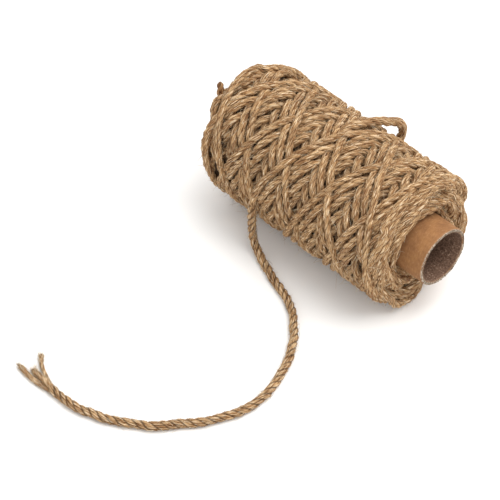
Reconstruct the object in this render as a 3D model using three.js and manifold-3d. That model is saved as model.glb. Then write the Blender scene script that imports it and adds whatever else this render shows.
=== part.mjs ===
// A roll of three-ply jute twine, cross wound on a cardboard core, with its outer end lying loose.
// Millimetres, +Z up. The roll lies on its side with its axis along X, the bare end of the core
// towards +X, and its lowest strands flattened at z = 0.

import * as THREE from 'three';
import { mergeVertices } from 'three/addons/utils/BufferGeometryUtils.js';
import Module from 'manifold-3d';

// The core: a spiral-wound cardboard tube, its rims slightly rounded.
const coreLength = 128;
const coreDiameter = 29.6;
const coreWall = 1.8;
const coreRimRound = 0.3;
const coreSides = 64;

// The twine and the place of the roll's axis above the surface.
const twineDiameter = 3.8;
const axisHeight = 33;
const axisY = -1.3;
const clearance = 0.3;

// The winding's ends along X, for the middle of the twine where the guide turns back.
const windingBack = -58.8;
const windingFront = 52.5;
const windingMiddle = (windingBack + windingFront) / 2;
const windingHalf = (windingFront - windingBack) / 2;

// How the guide lays the twine: turns round the core for one trip there and back, how round the
// turning points are, by how much they fall short of the ends in turn, as trips follow each other,
// near the outside and near the core, and where the last turn ends.
const woundTurns = 100;
const stepsPerTurn = 120;
const turnsPerTrip = 2.7385;
const turnRoundness = 0.93;
const turnSpread = 3;
const spreadStep = 0.18;
const shoulder = { back: 1, front: 4.5, turns: 20 };
const innerRecess = { depth: 1.5, from: 0.7 };
const endPower = 8;
const forwardOffset = -2.5;
const lastAngle = 80 * Math.PI / 180;
const lastX = -22.5;

// Strands wander sideways, except near the turning points and at the last half turn: a sum of
// waves, each with its rate and start round the roll and its share of the wander in millimetres.
const strandWander = [
  { rate: 1.31, start: -0.16, share: 0.3 },
  { rate: 0.73, start: 0.85, share: 0.35 },
  { rate: 2.9, start: -1, share: 0.15 },
];

// The outside of the winding, which its turning points swell a little towards both ends. The back
// end is out of round: at the angle of its long axis it swells more, by a share of its flare, and
// reaches further back, and it does as much less across that axis.
const windingRadius = 33;
const endFlare = { back: 1.8, front: 0.3, from: 0.6, over: 0.3 };
const backOval = { angle: 31 * Math.PI / 180, flare: 1, reach: 2.5 };

// How the twine settles: the share of its thickness that it keeps under a crossing strand, in
// the middle and at the turning points, the width of it that bears, the share of its rounding that
// sinks in, how soon its depth follows that of the strand so far, its tightest bend, and how near
// it comes to the core.
const keptThickness = { middle: 0.58, turn: 0.44, from: 0.75, over: 0.15 };
const bearingShare = 0.65;
const sunkShare = 0.6;
const depthShare = 0.2;
const tightestBend = 3;
const coreGap = 0.2;

// The flat spot that the roll rests on, and where it has blended into the round of the roll.
const flatHalfAngle = 11 * Math.PI / 180;
const flatBlendAngle = 27 * Math.PI / 180;

// A slack turn that stands off the winding's top, and the twine's inner end past the far face. Each
// row is one point of the strand's middle: degrees round the roll, place along X, and radius.
const slackTurn = [
  { degrees: 2, x: -3, radius: 29 },
  { degrees: -8, x: -1.8, radius: 33.2 },
  { degrees: -15, x: -0.6, radius: 34.6 },
  { degrees: -25, x: 1, radius: 35.8 },
  { degrees: -35, x: 2.9, radius: 37 },
  { degrees: -44, x: 5.2, radius: 38.3 },
  { degrees: -51, x: 6.9, radius: 39.2 },
  { degrees: -58, x: 6.9, radius: 39 },
  { degrees: -64, x: 5.8, radius: 38 },
  { degrees: -69, x: 4.9, radius: 36.2 },
  { degrees: -75, x: 4.3, radius: 33.8 },
  { degrees: -84, x: 4, radius: 29 },
];
const innerEnd = [
  { degrees: 34, x: -54, radius: 29 },
  { degrees: 33, x: -58.5, radius: 32.8 },
  { degrees: 29.5, x: -61, radius: 35.5 },
  { degrees: 26, x: -62.3, radius: 38 },
];
const innerEndDiameter = 2.9;
const slackTurnSteps = 22;
const innerEndSteps = 6;
const strandSides = 8;

// The loose end: the middle of the twine from where it leaves the roll, down to the surface and
// along it, to where its three plies come apart.
const looseEnd = [
  [-23.3, -36.35, 29.4],
  [-22.9, -36.4, 25],
  [-23.1, -36.4, 19.9],
  [-23, -36.45, 14.6],
  [-22.3, -36.5, 9.8],
  [-20.4, -37, 6.2],
  [-17.6, -38, 3.9],
  [-14.4, -39.1, 2.6],
  [-11.1, -40.2, 2.05],
  [-6.7, -42, 1.95],
  [1.8, -45.2, 1.95],
  [10.3, -47.9, 1.95],
  [18.6, -52, 1.95],
  [25.9, -58, 1.95],
  [32.4, -64.8, 1.95],
  [37.8, -72.4, 1.95],
  [41.8, -80.3, 1.95],
  [44.7, -88.3, 1.95],
  [46.6, -96.5, 1.95],
  [47, -104.4, 1.95],
  [45.8, -111.4, 1.95],
  [43.3, -118.1, 1.95],
  [40.3, -124.4, 1.95],
  [36.8, -130.2, 1.95],
  [32.3, -135.3, 1.95],
  [28.1, -140.8, 1.95],
  [24, -146, 1.95],
  [18.2, -149.6, 1.95],
  [12.6, -153.7, 1.95],
  [6.5, -157, 1.95],
  [-0.4, -159.5, 1.95],
  [-7.2, -161.7, 1.95],
  [-15.2, -162.3, 1.95],
  [-23.3, -162.2, 1.95],
];
const looseEndSteps = 40;

// The three plies at the loose end's tip, unlaid: where each one starts in the twine's section,
// and its middle from there on.
const plyDiameter = 1.65;
const looseEndPlies = [
  [[-23.8, -162.2, 3.1], [-28, -161.8, 3], [-31.6, -161.3, 2.1], [-35, -160.9, 1.3], [-37.8, -159.7, 0.9]],
  [[-23.8, -163.2, 1.4], [-28.5, -163.7, 1.1], [-33.5, -164, 0.9], [-39, -163.6, 0.9], [-44.2, -162.5, 0.9]],
  [[-23.8, -161.2, 1.4], [-27.5, -160, 1.1], [-32.5, -157.8, 0.9], [-37, -155.6, 0.9], [-42.3, -151.6, 1.2]],
];
const plySteps = 8;

const TAU = 2 * Math.PI;
const twineRadius = twineDiameter / 2;
const clamp01 = (value) => Math.min(Math.max(value, 0), 1);

// Angles round the roll are measured from the top towards -Y, the way that the twine runs.
function rollPoint(x, angle, radius) {
  return new THREE.Vector3(x, axisY - radius * Math.sin(angle), axisHeight + radius * Math.cos(angle));
}

// How far the back end is out of round at an angle: 1 at its long axis, -1 across it.
function ovalShare(angle) {
  return Math.cos(2 * (angle - backOval.angle));
}

// The guide's path: for each step its angle and its place along X, from the core to the last turn.
function guidePath() {
  const fullSway = Math.asin(turnRoundness);
  const lastSway = Math.asin(Math.sin((lastX - windingMiddle) / windingHalf * fullSway) / turnRoundness);
  const lastPhase = 0.5 - lastSway / TAU;
  const steps = woundTurns * stepsPerTurn;
  const path = [];
  for (let step = steps - 1; step >= 0; step -= 1) {
    const toGo = step * TAU / stepsPerTurn;
    const phase = lastPhase - toGo / (TAU * turnsPerTrip);
    const across = Math.asin(turnRoundness * Math.sin(TAU * phase)) / fullSway;
    const order = Math.floor(2 * phase + 0.5) * spreadStep;
    const spread = turnSpread * (order - Math.floor(order));
    const rounded = (across > 0 ? shoulder.front : shoulder.back) * clamp01(1 - toGo / (TAU * shoulder.turns));
    const recess = innerRecess.depth * clamp01((step / steps - innerRecess.from) / (1 - innerRecess.from));
    const angle = lastAngle - toGo;
    const reach = across < 0 ? backOval.reach * ovalShare(angle) : 0;
    const short = (spread + rounded + recess - reach) * Math.abs(across) ** endPower;
    const inward = 1 - Math.abs(across);
    const forward = Math.max(Math.cos(TAU * phase), 0) * clamp01(3 * inward);
    const wander = strandWander
      .map((wave) => wave.share * Math.sin(wave.rate * toGo + wave.start))
      .reduce((sum, offset) => sum + offset, 0);
    path.push({
      angle,
      x: windingMiddle + across * (windingHalf - short) + 2 * forwardOffset * forward
        + wander * clamp01(toGo / Math.PI) * clamp01(4 * inward),
      across,
      radius: 0,
    });
  }
  return path;
}

// A map of the room left for the strands, by angle and by place along X: its radius shrinks as
// strands are settled from the last turn inwards.
const mapRows = 360;
const mapColumns = 300;
const mapStart = -64;
const mapEnd = 58;
const mapStep = (mapEnd - mapStart) / (mapColumns - 1);
const settledAtOnce = 20;
const lookAhead = 9;
const notYetLaid = 4;

// Visits each cell of the map within reach of a round bead, with the bead's half height there.
function overBead(bead, radius, reach, visit) {
  const rowStep = TAU / mapRows;
  const firstColumn = Math.floor((bead.x - reach - mapStart) / mapStep) + 1;
  const lastColumn = Math.floor((bead.x + reach - mapStart) / mapStep);
  const firstRow = Math.ceil((bead.angle - reach / radius) / rowStep);
  const lastRow = Math.floor((bead.angle + reach / radius) / rowStep);
  for (let row = firstRow; row <= lastRow; row += 1) {
    const around = (row * rowStep - bead.angle) * radius;
    const wrapped = ((row % mapRows) + mapRows) % mapRows;
    for (let column = firstColumn; column <= lastColumn; column += 1) {
      const along = mapStart + column * mapStep - bead.x;
      const rest = reach * reach - around * around - along * along;
      if (rest > 0) {
        visit(wrapped * mapColumns + column, Math.sqrt(rest));
      }
    }
  }
}

// A running average with a bell-shaped weight, spread in samples, mirrored at the ends.
function smoothed(values, spread) {
  const reach = Math.ceil(spread * 4);
  const weights = [];
  for (let offset = -reach; offset <= reach; offset += 1) {
    weights.push(Math.exp(-0.5 * (offset / spread) ** 2));
  }
  const total = weights.reduce((sum, weight) => sum + weight, 0);
  return values.map((_, index) => {
    let sum = 0;
    weights.forEach((weight, place) => {
      let from = index + place - reach;
      if (from < 0) {
        from = -1 - from;
      }
      if (from >= values.length) {
        from = 2 * values.length - 1 - from;
      }
      sum += weight * values[from];
    });
    return sum / total;
  });
}

// The outside that the last strands reach up to, as the map to start with.
function emptyMap() {
  const map = new Float64Array(mapRows * mapColumns);
  for (let cell = 0; cell < map.length; cell += 1) {
    const offset = mapStart + (cell % mapColumns) * mapStep - windingMiddle;
    const nearEnd = clamp01((Math.abs(offset) / windingHalf - endFlare.from) / endFlare.over);
    const angle = Math.floor(cell / mapColumns) * TAU / mapRows;
    const backFlare = endFlare.back * (1 + backOval.flare * ovalShare(angle));
    map[cell] = windingRadius + (offset > 0 ? endFlare.front : backFlare) * nearEnd ** 2;
  }
  return map;
}

// The radius of each bead of twine, from the last turn inwards. A strand lies under all those
// wound after it, which press into it where they cross, and it bends no tighter than it can.
function settleTwine(path) {
  const map = emptyMap();
  const bearing = twineRadius * bearingShare;
  const sunk = (twineRadius - bearing) * keptThickness.middle * sunkShare;
  const lowest = coreDiameter / 2 + coreGap + twineRadius;
  let radius = windingRadius - twineRadius;
  const stepLength = radius * TAU / stepsPerTurn;
  const travelled = [0];
  for (let index = 1; index < path.length; index += 1) {
    travelled.push(travelled[index - 1] + Math.hypot(path[index].x - path[index - 1].x, stepLength));
  }
  const highest = new Float64Array(path.length).fill(Infinity);
  let laidFrom = path.length;
  for (let end = path.length; end > 0; end -= settledAtOnce) {
    const start = Math.max(0, end - settledAtOnce);
    const low = Math.max(0, start - lookAhead);
    const high = Math.min(path.length, end + lookAhead);
    for (let index = end - 1; index >= low; index -= 1) {
      let limit = Infinity;
      overBead(path[index], radius, bearing, (cell, height) => {
        limit = Math.min(limit, map[cell] - height * keptThickness.middle);
      });
      highest[index] = Math.max(limit - sunk, lowest);
      radius += depthShare * (highest[index] - radius);
    }
    for (let index = start; index < end; index += 1) {
      let bent = Infinity;
      for (let other = low; other < high; other += 1) {
        const apart = travelled[index] - travelled[other];
        bent = Math.min(bent, highest[other] + apart ** 2 / (2 * tightestBend));
      }
      path[index].radius = bent;
    }
    const layTo = start > 0 ? start + notYetLaid : 0;
    for (let index = laidFrom - 1; index >= layTo; index -= 1) {
      const bead = path[index];
      const turned = clamp01((Math.abs(bead.across) - keptThickness.from) / keptThickness.over);
      const kept = keptThickness.middle + (keptThickness.turn - keptThickness.middle) * turned;
      overBead(bead, bead.radius, twineRadius, (cell, height) => {
        map[cell] = Math.min(map[cell], bead.radius - height * kept);
      });
    }
    laidFrom = layTo;
  }
  smoothed(path.map((bead) => bead.radius), 1).forEach((settled, index) => {
    path[index].radius = settled;
  });
}

// The winding's skin: rays that fan out of a ring inside the winding, over its far face, its
// outside and its near face, each stopped where it leaves the outermost strand. Rays are cast
// three times as close as the skin's points, and each point takes the weighted mean of those near.
const skinSides = 76;
const skinRing = 24;
const skinBack = -50;
const skinFront = 42.5;
const skinColumns = 50;
const faceTilts = [78, 55, 33, 11, -11, -30];
const castSteps = 3;
const castWeights = [1, 3, 6, 7, 6, 3, 1];
const boreColumns = 3;

// A ray by its place in the fan, which need not be a whole number.
function skinRay(place) {
  const faceCount = faceTilts.length;
  const column = place - faceCount;
  if (column >= 0 && column <= skinColumns) {
    return { x: skinBack + (skinFront - skinBack) * column / skinColumns, along: 0, out: 1 };
  }
  const far = column < 0;
  const step = Math.min(far ? -column : column - skinColumns, faceCount);
  const low = Math.floor(step);
  const before = low === 0 ? 90 : faceTilts[low - 1];
  const after = faceTilts[Math.min(low, faceCount - 1)];
  const tilt = THREE.MathUtils.degToRad(before + (after - before) * (step - low));
  return {
    x: far ? skinBack : skinFront,
    along: Math.cos(tilt) * (far ? -1 : 1),
    out: Math.sin(tilt),
  };
}

// How far along a ray the last bead of twine reaches, for beads sorted into sectors by angle.
function reachOf(ray, angle, sectors) {
  const start = rollPoint(ray.x, angle, skinRing);
  const direction = rollPoint(ray.x + ray.along, angle, skinRing + ray.out).sub(start);
  const sector = Math.floor((((angle % TAU) + TAU) % TAU) / TAU * sectors.length);
  let reach = 0;
  for (let near = -1; near <= 1; near += 1) {
    sectors[(sector + near + sectors.length) % sectors.length].forEach((centre) => {
      const dx = centre.x - start.x;
      const dy = centre.y - start.y;
      const dz = centre.z - start.z;
      const forward = dx * direction.x + dy * direction.y + dz * direction.z;
      const rest = twineRadius ** 2 - (dx * dx + dy * dy + dz * dz - forward * forward);
      if (rest > 0) {
        reach = Math.max(reach, forward + Math.sqrt(rest));
      }
    });
  }
  return reach;
}

// The reach of every point of the skin, as rows by angle.
function skinReaches(path) {
  const sectors = Array.from({ length: 36 }, () => []);
  path.forEach((bead) => {
    const sector = Math.floor((((bead.angle % TAU) + TAU) % TAU) / TAU * sectors.length);
    sectors[sector].push(rollPoint(bead.x, bead.angle, bead.radius));
  });
  const places = 2 * faceTilts.length + skinColumns + 1;
  const castRows = skinSides * castSteps;
  const castColumns = (places - 1) * castSteps + 1;
  const cast = Array.from({ length: castRows }, (_, row) => (
    Array.from({ length: castColumns }, (__, column) => (
      reachOf(skinRay(column / castSteps), row * TAU / castRows, sectors)
    ))
  ));
  const half = (castWeights.length - 1) / 2;
  return Array.from({ length: skinSides }, (_, side) => (
    Array.from({ length: places }, (__, place) => {
      let sum = 0;
      let total = 0;
      castWeights.forEach((rowWeight, rowOffset) => {
        const row = (side * castSteps + rowOffset - half + castRows) % castRows;
        castWeights.forEach((columnWeight, columnOffset) => {
          const column = place * castSteps + columnOffset - half;
          if (column >= 0 && column < castColumns) {
            sum += rowWeight * columnWeight * cast[row][column];
            total += rowWeight * columnWeight;
          }
        });
      });
      return sum / total;
    })
  ));
}

function windingGeometry(path) {
  const boreRadius = coreDiameter / 2 + clearance;
  const reaches = skinReaches(path);
  const places = reaches[0].length;
  const ringLength = places + boreColumns + 1;
  const points = [];
  reaches.forEach((reachesHere, side) => {
    const angle = side * TAU / skinSides;
    const fromBottom = Math.abs(angle - Math.PI);
    const pressed = 1 - THREE.MathUtils.smoothstep(fromBottom, flatHalfAngle, flatBlendAngle);
    const xs = reachesHere.map((reach, place) => skinRay(place).x + skinRay(place).along * reach);
    reachesHere.forEach((reach, place) => {
      const ray = skinRay(place);
      const point = rollPoint(xs[place], angle, Math.max(skinRing + ray.out * reach, boreRadius + 1));
      if (ray.out === 1) {
        point.z *= 1 - pressed;
      }
      point.z = Math.max(point.z, 0);
      points.push(point);
    });
    for (let column = 0; column <= boreColumns; column += 1) {
      const x = xs[places - 1] + (xs[0] - xs[places - 1]) * column / boreColumns;
      points.push(rollPoint(x, angle, boreRadius));
    }
  });
  // Each four-sided patch is split along its higher diagonal, which keeps the strands' crests.
  const radii = points.map((point) => Math.hypot(point.y - axisY, point.z - axisHeight));
  const indices = [];
  for (let side = 0; side < skinSides; side += 1) {
    const next = (side + 1) % skinSides;
    for (let row = 0; row < ringLength; row += 1) {
      const after = (row + 1) % ringLength;
      const corners = [side * ringLength + row, next * ringLength + row,
        next * ringLength + after, side * ringLength + after];
      const [height, heightBeside, heightAcross, heightAfter] = corners.map((corner) => radii[corner]);
      const acrossIsHigher = height + heightAcross > heightBeside + heightAfter;
      const order = acrossIsHigher ? [0, 1, 2, 0, 2, 3] : [0, 1, 3, 1, 2, 3];
      indices.push(...order.map((corner) => corners[corner]));
    }
  }
  const geometry = new THREE.BufferGeometry();
  const numbers = points.flatMap((point) => [point.x, point.y, point.z]);
  geometry.setAttribute('position', new THREE.Float32BufferAttribute(numbers, 3));
  geometry.setIndex(indices);
  return geometry;
}

// A round bar along a smooth curve through the given points.
function barGeometry(points, diameter, sides, steps) {
  const section = new THREE.Shape();
  for (let side = 0; side <= sides; side += 1) {
    const angle = side * TAU / sides;
    const place = [diameter / 2 * Math.cos(angle), diameter / 2 * Math.sin(angle)];
    if (side === 0) {
      section.moveTo(...place);
    } else {
      section.lineTo(...place);
    }
  }
  const curve = new THREE.CatmullRomCurve3(points, false, 'centripetal');
  return new THREE.ExtrudeGeometry(section, { steps, extrudePath: curve, bevelEnabled: false });
}

const wasm = await Module();
wasm.setup();

function toSolid(geometry) {
  const bare = geometry.clone();
  bare.deleteAttribute('normal');
  bare.deleteAttribute('uv');
  const merged = mergeVertices(bare, 1e-4);
  return new wasm.Manifold(new wasm.Mesh({
    numProp: 3,
    vertProperties: new Float32Array(merged.attributes.position.array),
    triVerts: new Uint32Array(merged.index.array),
  }));
}

function toGeometry(solid) {
  const mesh = solid.getMesh();
  const geometry = new THREE.BufferGeometry();
  geometry.setAttribute('position', new THREE.BufferAttribute(new Float32Array(mesh.vertProperties), 3));
  geometry.setIndex(new THREE.BufferAttribute(new Uint32Array(mesh.triVerts), 1));
  geometry.computeVertexNormals();
  return geometry;
}

// The tube's profile as a closed outline round its axis, turned to lie along X.
function coreGeometry() {
  const outer = coreDiameter / 2;
  const inner = outer - coreWall;
  const end = coreLength / 2;
  const round = coreRimRound;
  const outline = [
    [inner, end - round], [inner + round, end], [outer - round, end], [outer, end - round],
    [outer, -end + round], [outer - round, -end], [inner + round, -end], [inner, -end + round],
    [inner, end - round],
  ];
  const profile = outline.map(([radius, along]) => new THREE.Vector2(radius, -along));
  return new THREE.LatheGeometry(profile, coreSides);
}

// A strand of twine along rows of degrees, place along X and radius.
function strandGeometry(rows, diameter, steps) {
  const points = rows.map((row) => rollPoint(row.x, THREE.MathUtils.degToRad(row.degrees), row.radius));
  return barGeometry(points, diameter, strandSides, steps);
}

const group = new THREE.Group();

function addMesh(name, geometry, material) {
  const mesh = new THREE.Mesh(geometry, material);
  mesh.name = name;
  group.add(mesh);
  return mesh;
}

const twine = new THREE.MeshStandardMaterial({ color: 0xa98156, roughness: 0.95, metalness: 0 });
const cardboard = new THREE.MeshStandardMaterial({ color: 0xb07f4c, roughness: 0.85, metalness: 0 });

// The winding, with its slack turn and its inner end, is one body of twine.
const path = guidePath();
settleTwine(path);
const winding = toSolid(windingGeometry(path))
  .add(toSolid(strandGeometry(slackTurn, twineDiameter, slackTurnSteps)))
  .add(toSolid(strandGeometry(innerEnd, innerEndDiameter, innerEndSteps)));
addMesh('winding', toGeometry(winding), twine);

const core = addMesh('core', coreGeometry(), cardboard);
core.rotation.z = -Math.PI / 2;
core.position.set(0, axisY, axisHeight);

const looseEndPoints = looseEnd.map((point) => new THREE.Vector3(...point));
addMesh('loose_end', barGeometry(looseEndPoints, twineDiameter, strandSides, looseEndSteps), twine);
looseEndPlies.forEach((points, index) => {
  const middle = points.map((point) => new THREE.Vector3(...point));
  addMesh(`ply_${index + 1}`, barGeometry(middle, plyDiameter, strandSides, plySteps), twine);
});

export default group;
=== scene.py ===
"""A roll of three-ply jute twine, cross wound on a cardboard core, with its outer end lying loose."""
import math

import bpy
import numpy as np
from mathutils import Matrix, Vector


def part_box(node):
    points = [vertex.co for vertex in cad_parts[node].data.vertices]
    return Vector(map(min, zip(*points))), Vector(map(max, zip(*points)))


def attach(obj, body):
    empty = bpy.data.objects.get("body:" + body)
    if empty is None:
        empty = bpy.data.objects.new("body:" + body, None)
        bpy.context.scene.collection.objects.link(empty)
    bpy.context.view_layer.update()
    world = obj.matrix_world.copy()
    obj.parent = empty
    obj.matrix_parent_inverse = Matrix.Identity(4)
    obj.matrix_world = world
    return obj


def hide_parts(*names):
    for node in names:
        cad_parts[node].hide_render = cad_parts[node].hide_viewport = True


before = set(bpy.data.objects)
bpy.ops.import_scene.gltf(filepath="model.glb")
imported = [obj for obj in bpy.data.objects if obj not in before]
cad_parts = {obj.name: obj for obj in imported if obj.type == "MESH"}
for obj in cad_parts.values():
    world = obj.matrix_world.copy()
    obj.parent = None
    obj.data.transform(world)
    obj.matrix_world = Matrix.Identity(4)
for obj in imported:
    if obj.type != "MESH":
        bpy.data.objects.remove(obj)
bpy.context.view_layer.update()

# The camera: the photograph's view of the roll, from the front right corner and above.
# It is a long lens, as used for a product picture, so the roll's sides stay nearly parallel.
MM = 0.001
camera_azimuth = math.radians(45.34)
camera_elevation = math.radians(45.93)
camera_distance = 1.2
camera_target = np.array([-23.2, -37.5, 0.0]) * MM
camera_nearest = 0.05
focal_length_px = 2550.5
picture_width_px = 500
sensor_width_mm = 36.0

camera_back = np.array([
    math.sin(camera_azimuth) * math.cos(camera_elevation),
    -math.cos(camera_azimuth) * math.cos(camera_elevation),
    math.sin(camera_elevation),
])
camera_data = bpy.data.cameras.new("camera")
camera_data.sensor_width = sensor_width_mm
camera_data.lens = sensor_width_mm * focal_length_px / picture_width_px
camera_data.clip_start = camera_nearest
camera = bpy.data.objects.new("camera", camera_data)
camera.location = camera_target + camera_back * camera_distance
camera.rotation_euler = (math.pi / 2 - camera_elevation, 0.0, camera_azimuth)
bpy.context.scene.collection.objects.link(camera)
bpy.context.scene.camera = camera


# The core: a tube of kraft board, wound in a spiral from glued strips and cut off square.
# Its outer strip is brown kraft paper with a fine spiral seam. The cut rim shows the paler,
# slightly furry layers of board. The bore is the same board, with painted shade that makes it
# darker and greyer inside the tube.
TAU = 2 * math.pi
core_low, core_high = (np.array(corner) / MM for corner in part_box("core"))
core_radius = (core_high[2] - core_low[2]) / 2
core_wall = 1.8
core_girth = TAU * core_radius
core_axis_y = (core_low[1] + core_high[1]) / 2
core_axis_z = (core_low[2] + core_high[2]) / 2
# The strip and its seam, which starts where the camera doesn't see it: none shows in the photograph.
core_strip_width = 34.0
core_seam_width = 0.4
core_seam_start = 30.7
core_strip_tilt = math.atan2(core_strip_width, core_girth)
# The mesh: its sides, its rows along the outside and the bore, and where they stop before the rim.
core_sides = 96
core_outer_rows = 36
core_bore_rows = 16
core_outer_stop = 0.6
core_bore_stop = 0.5
# The rim: how far the cut rounds its two edges, the board's layers and how far every other one
# stands back, those that are torn to pale fibre, how ragged the cut is and how much it is oval.
core_rim_round = 0.35
core_bore_round = 0.15
core_corner = (0.25, 0.06)
core_rim_layers = 6
core_layer_step = 0.10
core_torn_layers = 10
core_part_torn = 0.3
core_ragged_length = 0.17
core_ragged_radius = 0.09
core_out_of_round = 0.06
core_oval_turn = 0.6


def linear(hex_colour):
    """A linear colour from an sRGB hex value such as "#a08060"."""
    values = [int(hex_colour[place:place + 2], 16) / 255 for place in (1, 3, 5)]
    return [v / 12.92 if v <= 0.04045 else ((v + 0.055) / 1.055) ** 2.4 for v in values] + [1.0]


def add_node(tree, kind, settings=None, links=None):
    """Adds a node. Settings are its own properties, ramp stops or unlinked inputs, with colours in
    hex. Links are sockets, or nodes, which give their first output."""
    node = tree.nodes.new("ShaderNode" + kind)
    for name, value in (settings or {}).items():
        if name == "stops":
            ramp = node.color_ramp
            while len(ramp.elements) < len(value):
                ramp.elements.new(1.0)
            for element, (place, colour) in zip(ramp.elements, value):
                element.position = place
                element.color = linear(colour)
        elif isinstance(name, str) and hasattr(node, name):
            setattr(node, name, value)
        else:
            node.inputs[name].default_value = linear(value) if str(value).startswith("#") else value
    for name, source in (links or {}).items():
        output = source if isinstance(source, bpy.types.NodeSocket) else source.outputs[0]
        tree.links.new(output, node.inputs[name])
    return node


def new_material(name):
    """An empty node material and its tree."""
    material = bpy.data.materials.new(name)
    material.use_nodes = True
    material.node_tree.nodes.clear()
    return material, material.node_tree


def finish_material(tree, colour, roughness, bump_height, bump_depth, settings):
    """Ends a material in one shader, with a bump of the given depth in metres."""
    bump = add_node(tree, "Bump", {"Distance": bump_depth, "Strength": 1.0}, {"Height": bump_height})
    shader = add_node(
        tree, "BsdfPrincipled", settings,
        {"Base Color": colour, "Roughness": roughness, "Normal": bump},
    )
    add_node(tree, "OutputMaterial", {}, {"Surface": shader})


def kraft_board():
    """Kraft board: mottled brown paper, with paler torn fibre where it is cut."""
    material, tree = new_material("kraft_board_spiral_wound")
    length_and_girth = add_node(tree, "UVMap", {"uv_map": "along_and_round"})
    place = add_node(tree, "TexCoord").outputs["Object"]
    cut = add_node(tree, "Attribute", {"attribute_name": "cut_edge"}).outputs["Fac"]
    inside = add_node(tree, "Attribute", {"attribute_name": "bore"}).outputs["Fac"]
    # Paper fibres are 1 to 3 mm long and lie mostly along the strip, which runs round the tube.
    grain_place = add_node(tree, "Mapping", {
        "Rotation": (0.0, 0.0, core_strip_tilt), "Scale": (1.5, 0.5, 1.0)}, {"Vector": length_and_girth})
    grain = add_node(tree, "TexNoise", {"Scale": 1.0, "Detail": 4.0, "Roughness": 0.65},
                     {"Vector": grain_place})
    # The paper's mottle comes in patches of about 8 mm.
    mottle = add_node(tree, "TexNoise", {"Scale": 130.0, "Detail": 4.0, "Roughness": 0.6},
                      {"Vector": place})
    # Pulp specks in the cut edge and the bore are about 0.5 mm across.
    pulp = add_node(tree, "TexNoise", {"Scale": 1300.0, "Detail": 2.0, "Roughness": 0.7},
                    {"Vector": place})
    paper = add_node(tree, "ValToRGB", {"stops": [
        (0.30, "#7c5532"), (0.50, "#93683e"), (0.70, "#a87a48")]}, {"Fac": mottle})
    streak = add_node(tree, "ValToRGB", {"stops": [
        (0.32, "#764d2f"), (0.55, "#9c6d47"), (0.75, "#c39b77")]}, {"Fac": grain})
    outside = add_node(tree, "MixRGB", {"Fac": 0.38}, {"Color1": paper, "Color2": streak})
    seam_run = add_node(tree, "SeparateXYZ", {}, {"Vector": length_and_girth})
    strip_turn = add_node(tree, "Math", {
        "operation": "MULTIPLY_ADD", 1: -core_strip_width / core_girth},
        {0: seam_run.outputs["Y"], 2: seam_run.outputs["X"]})
    strip_edge = add_node(tree, "Math", {"operation": "PINGPONG", 1: core_strip_width / 2},
                          {0: strip_turn})
    seam = add_node(tree, "MapRange", {
        "From Min": 0.0, "From Max": core_seam_width, "To Min": 0.7, "To Max": 0.0},
        {"Value": strip_edge})
    seam_shade = add_node(tree, "MixRGB", {"Color2": "#6d4828"}, {"Fac": seam, "Color1": outside})
    # Painted shade inside the tube: the bore is drawn darker and greyer than the outside, with the
    # board's pulp specks in it.
    bore_specks_in_shade = add_node(tree, "ValToRGB", {"stops": [
        (0.32, "#463226"), (0.48, "#6e5342"), (0.62, "#896c58"),
        (0.74, "#c4a893")]}, {"Fac": pulp})
    bore_mottle = add_node(tree, "MapRange", {
        "From Min": 0.35, "From Max": 0.65, "To Min": 0.0, "To Max": 0.45}, {"Value": mottle})
    bore_shade = add_node(tree, "MixRGB", {"Color2": "#5e4636"},
                          {"Fac": bore_mottle, "Color1": bore_specks_in_shade})
    with_bore_shade = add_node(tree, "MixRGB", {}, {"Fac": inside, "Color1": seam_shade, "Color2": bore_shade})
    torn = add_node(tree, "ValToRGB", {"stops": [
        (0.38, "#6e5a48"), (0.50, "#a6947f"), (0.66, "#dcd0c0")]}, {"Fac": pulp})
    # In places the torn rim is rubbed back to the brown of the board.
    rubbed = add_node(tree, "MapRange", {
        "From Min": 0.50, "From Max": 0.60, "To Min": 0.0, "To Max": 0.7}, {"Value": mottle})
    rim_colour = add_node(tree, "MixRGB", {"Color2": "#7a583e"}, {"Fac": rubbed, "Color1": torn})
    whole = add_node(tree, "MixRGB", {}, {"Fac": cut, "Color1": with_bore_shade, "Color2": rim_colour})
    roughness = add_node(tree, "MapRange", {"To Min": 0.68, "To Max": 0.9}, {"Value": grain})
    relief = add_node(tree, "Math", {"operation": "MULTIPLY_ADD", 1: 2.0}, {0: pulp, 2: grain})
    finish_material(tree, whole, roughness, relief, 0.00012, {"Specular IOR Level": 0.35})
    return material


def new_piece(name, vertices, faces, material, attributes=None, uv=None):
    """A smooth-shaded mesh piece, from points in millimetres, that rides on the one body."""
    mesh = bpy.data.meshes.new(name)
    mesh.from_pydata((np.asarray(vertices) * MM).tolist(), [], faces)
    mesh.shade_smooth()
    for label, values in (attributes or {}).items():
        layer = mesh.attributes.new(label, "FLOAT", "POINT")
        layer.data.foreach_set("value", np.asarray(values, dtype=np.float32))
    if uv is not None:
        layer = mesh.uv_layers.new(name="along_and_round")
        layer.data.foreach_set("uv", np.asarray(uv, dtype=np.float32).ravel())
    mesh.materials.append(material)
    piece = bpy.data.objects.new(name, mesh)
    bpy.context.scene.collection.objects.link(piece)
    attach(piece, "root")
    return piece


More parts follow.
